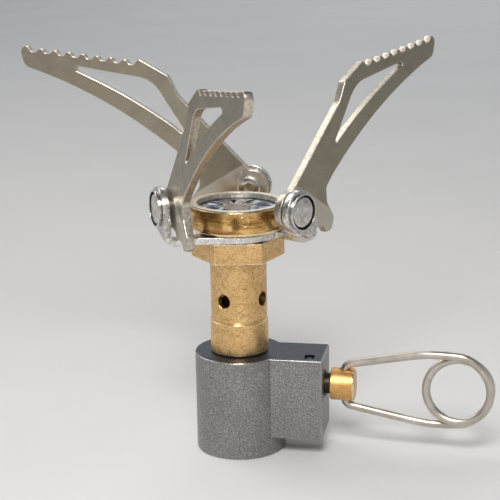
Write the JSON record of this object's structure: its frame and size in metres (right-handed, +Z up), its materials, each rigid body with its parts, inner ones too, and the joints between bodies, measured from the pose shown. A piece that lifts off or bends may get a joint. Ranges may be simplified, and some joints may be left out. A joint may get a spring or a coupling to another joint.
{
  "type": "camping stove",
  "caption": "Canister-top camping stove with folding toothed pot supports, a brass burner head and mixing tube, and a needle valve turned by a wire handle.",
  "frame": {"origin": "centre of the mouth of the threaded socket, level with the valve body's lower face, on which the stove stands and which meets the canister", "axes": "+Z up along the mixing tube's axis, +X towards the valve's wire handle"},
  "size_m": [0.0851, 0.0716, 0.0687],
  "materials": {
    "body_anodised": "bead-blasted grey anodised aluminium",
    "brass": "turned brass with light tarnish",
    "brass_matte": "satin brass, dulled by heat",
    "support_steel": "satin stainless plate with bright edges",
    "bracket_steel": "bright mottled stainless",
    "wire_steel": "drawn stainless wire",
    "burner_steel": "stainless sheet, blue-grey from heat",
    "rubber": "matt black nitrile",
    "sintered_bronze": "sintered bronze"
  },
  "bodies": {
    "stove": {"valve_body": "body_anodised", "inlet_pin": "brass", "inlet_seal": "rubber", "gas_filter": "sintered_bronze", "jet": "brass", "keeper_pin": "wire_steel", "mixing_tube": "brass_matte", "burner_cup": "brass", "burner_screen": "burner_steel", "burner_plate": "burner_steel", "plate_ring": "bracket_steel", "support_base": "bracket_steel", "rivet_1": "bracket_steel", "rivet_2": "bracket_steel", "rivet_3": "bracket_steel", "rivet_washer_1": "bracket_steel", "rivet_washer_2": "bracket_steel", "rivet_washer_3": "bracket_steel"},
    "seal_carrier": {"spindle_seal": "rubber"},
    "spindle": {"spindle": "brass"},
    "handle": {"wire_handle": "wire_steel"},
    "support_1": {"pot_support_1": "support_steel"},
    "support_2": {"pot_support_2": "support_steel"},
    "support_3": {"pot_support_3": "support_steel"}
  },
  "joints": [
    {"name": "support_1_fold", "type": "hinge", "parent": "stove", "child": "support_1", "pos_m": [0.01005, -0.0058, 0.0439], "axis": [0.866, -0.5, 0], "range_deg": [0, 214]},
    {"name": "support_2_fold", "type": "hinge", "parent": "stove", "child": "support_2", "pos_m": [0, 0.0116, 0.0439], "axis": [0, 1, 0], "range_deg": [0, 214]},
    {"name": "support_3_fold", "type": "hinge", "parent": "stove", "child": "support_3", "pos_m": [-0.01005, -0.0058, 0.0439], "axis": [-0.866, -0.5, 0], "range_deg": [0, 214]},
    {"name": "spindle_travel", "type": "slide", "parent": "stove", "child": "seal_carrier", "axis": [1, 0, 0], "range_m": [-0.0007, 0.00105]},
    {"name": "spindle_turn", "type": "hinge", "parent": "seal_carrier", "child": "spindle", "pos_m": [0.01, 0, 0.012], "axis": [1, 0, 0], "range_deg": [-360, 540]},
    {"name": "handle_swing", "type": "hinge", "parent": "spindle", "child": "handle", "pos_m": [0.0184, 0, 0.012], "axis": [0, 0, 1], "range_deg": [-70, 70]}
  ],
  "couplings": [
    {"joint": "support_2_fold", "follows": "support_1_fold", "ratio": 1},
    {"joint": "support_3_fold", "follows": "support_1_fold", "ratio": 1},
    {"joint": "spindle_turn", "follows": "spindle_travel", "rad_per_m": 8976}
  ]
}
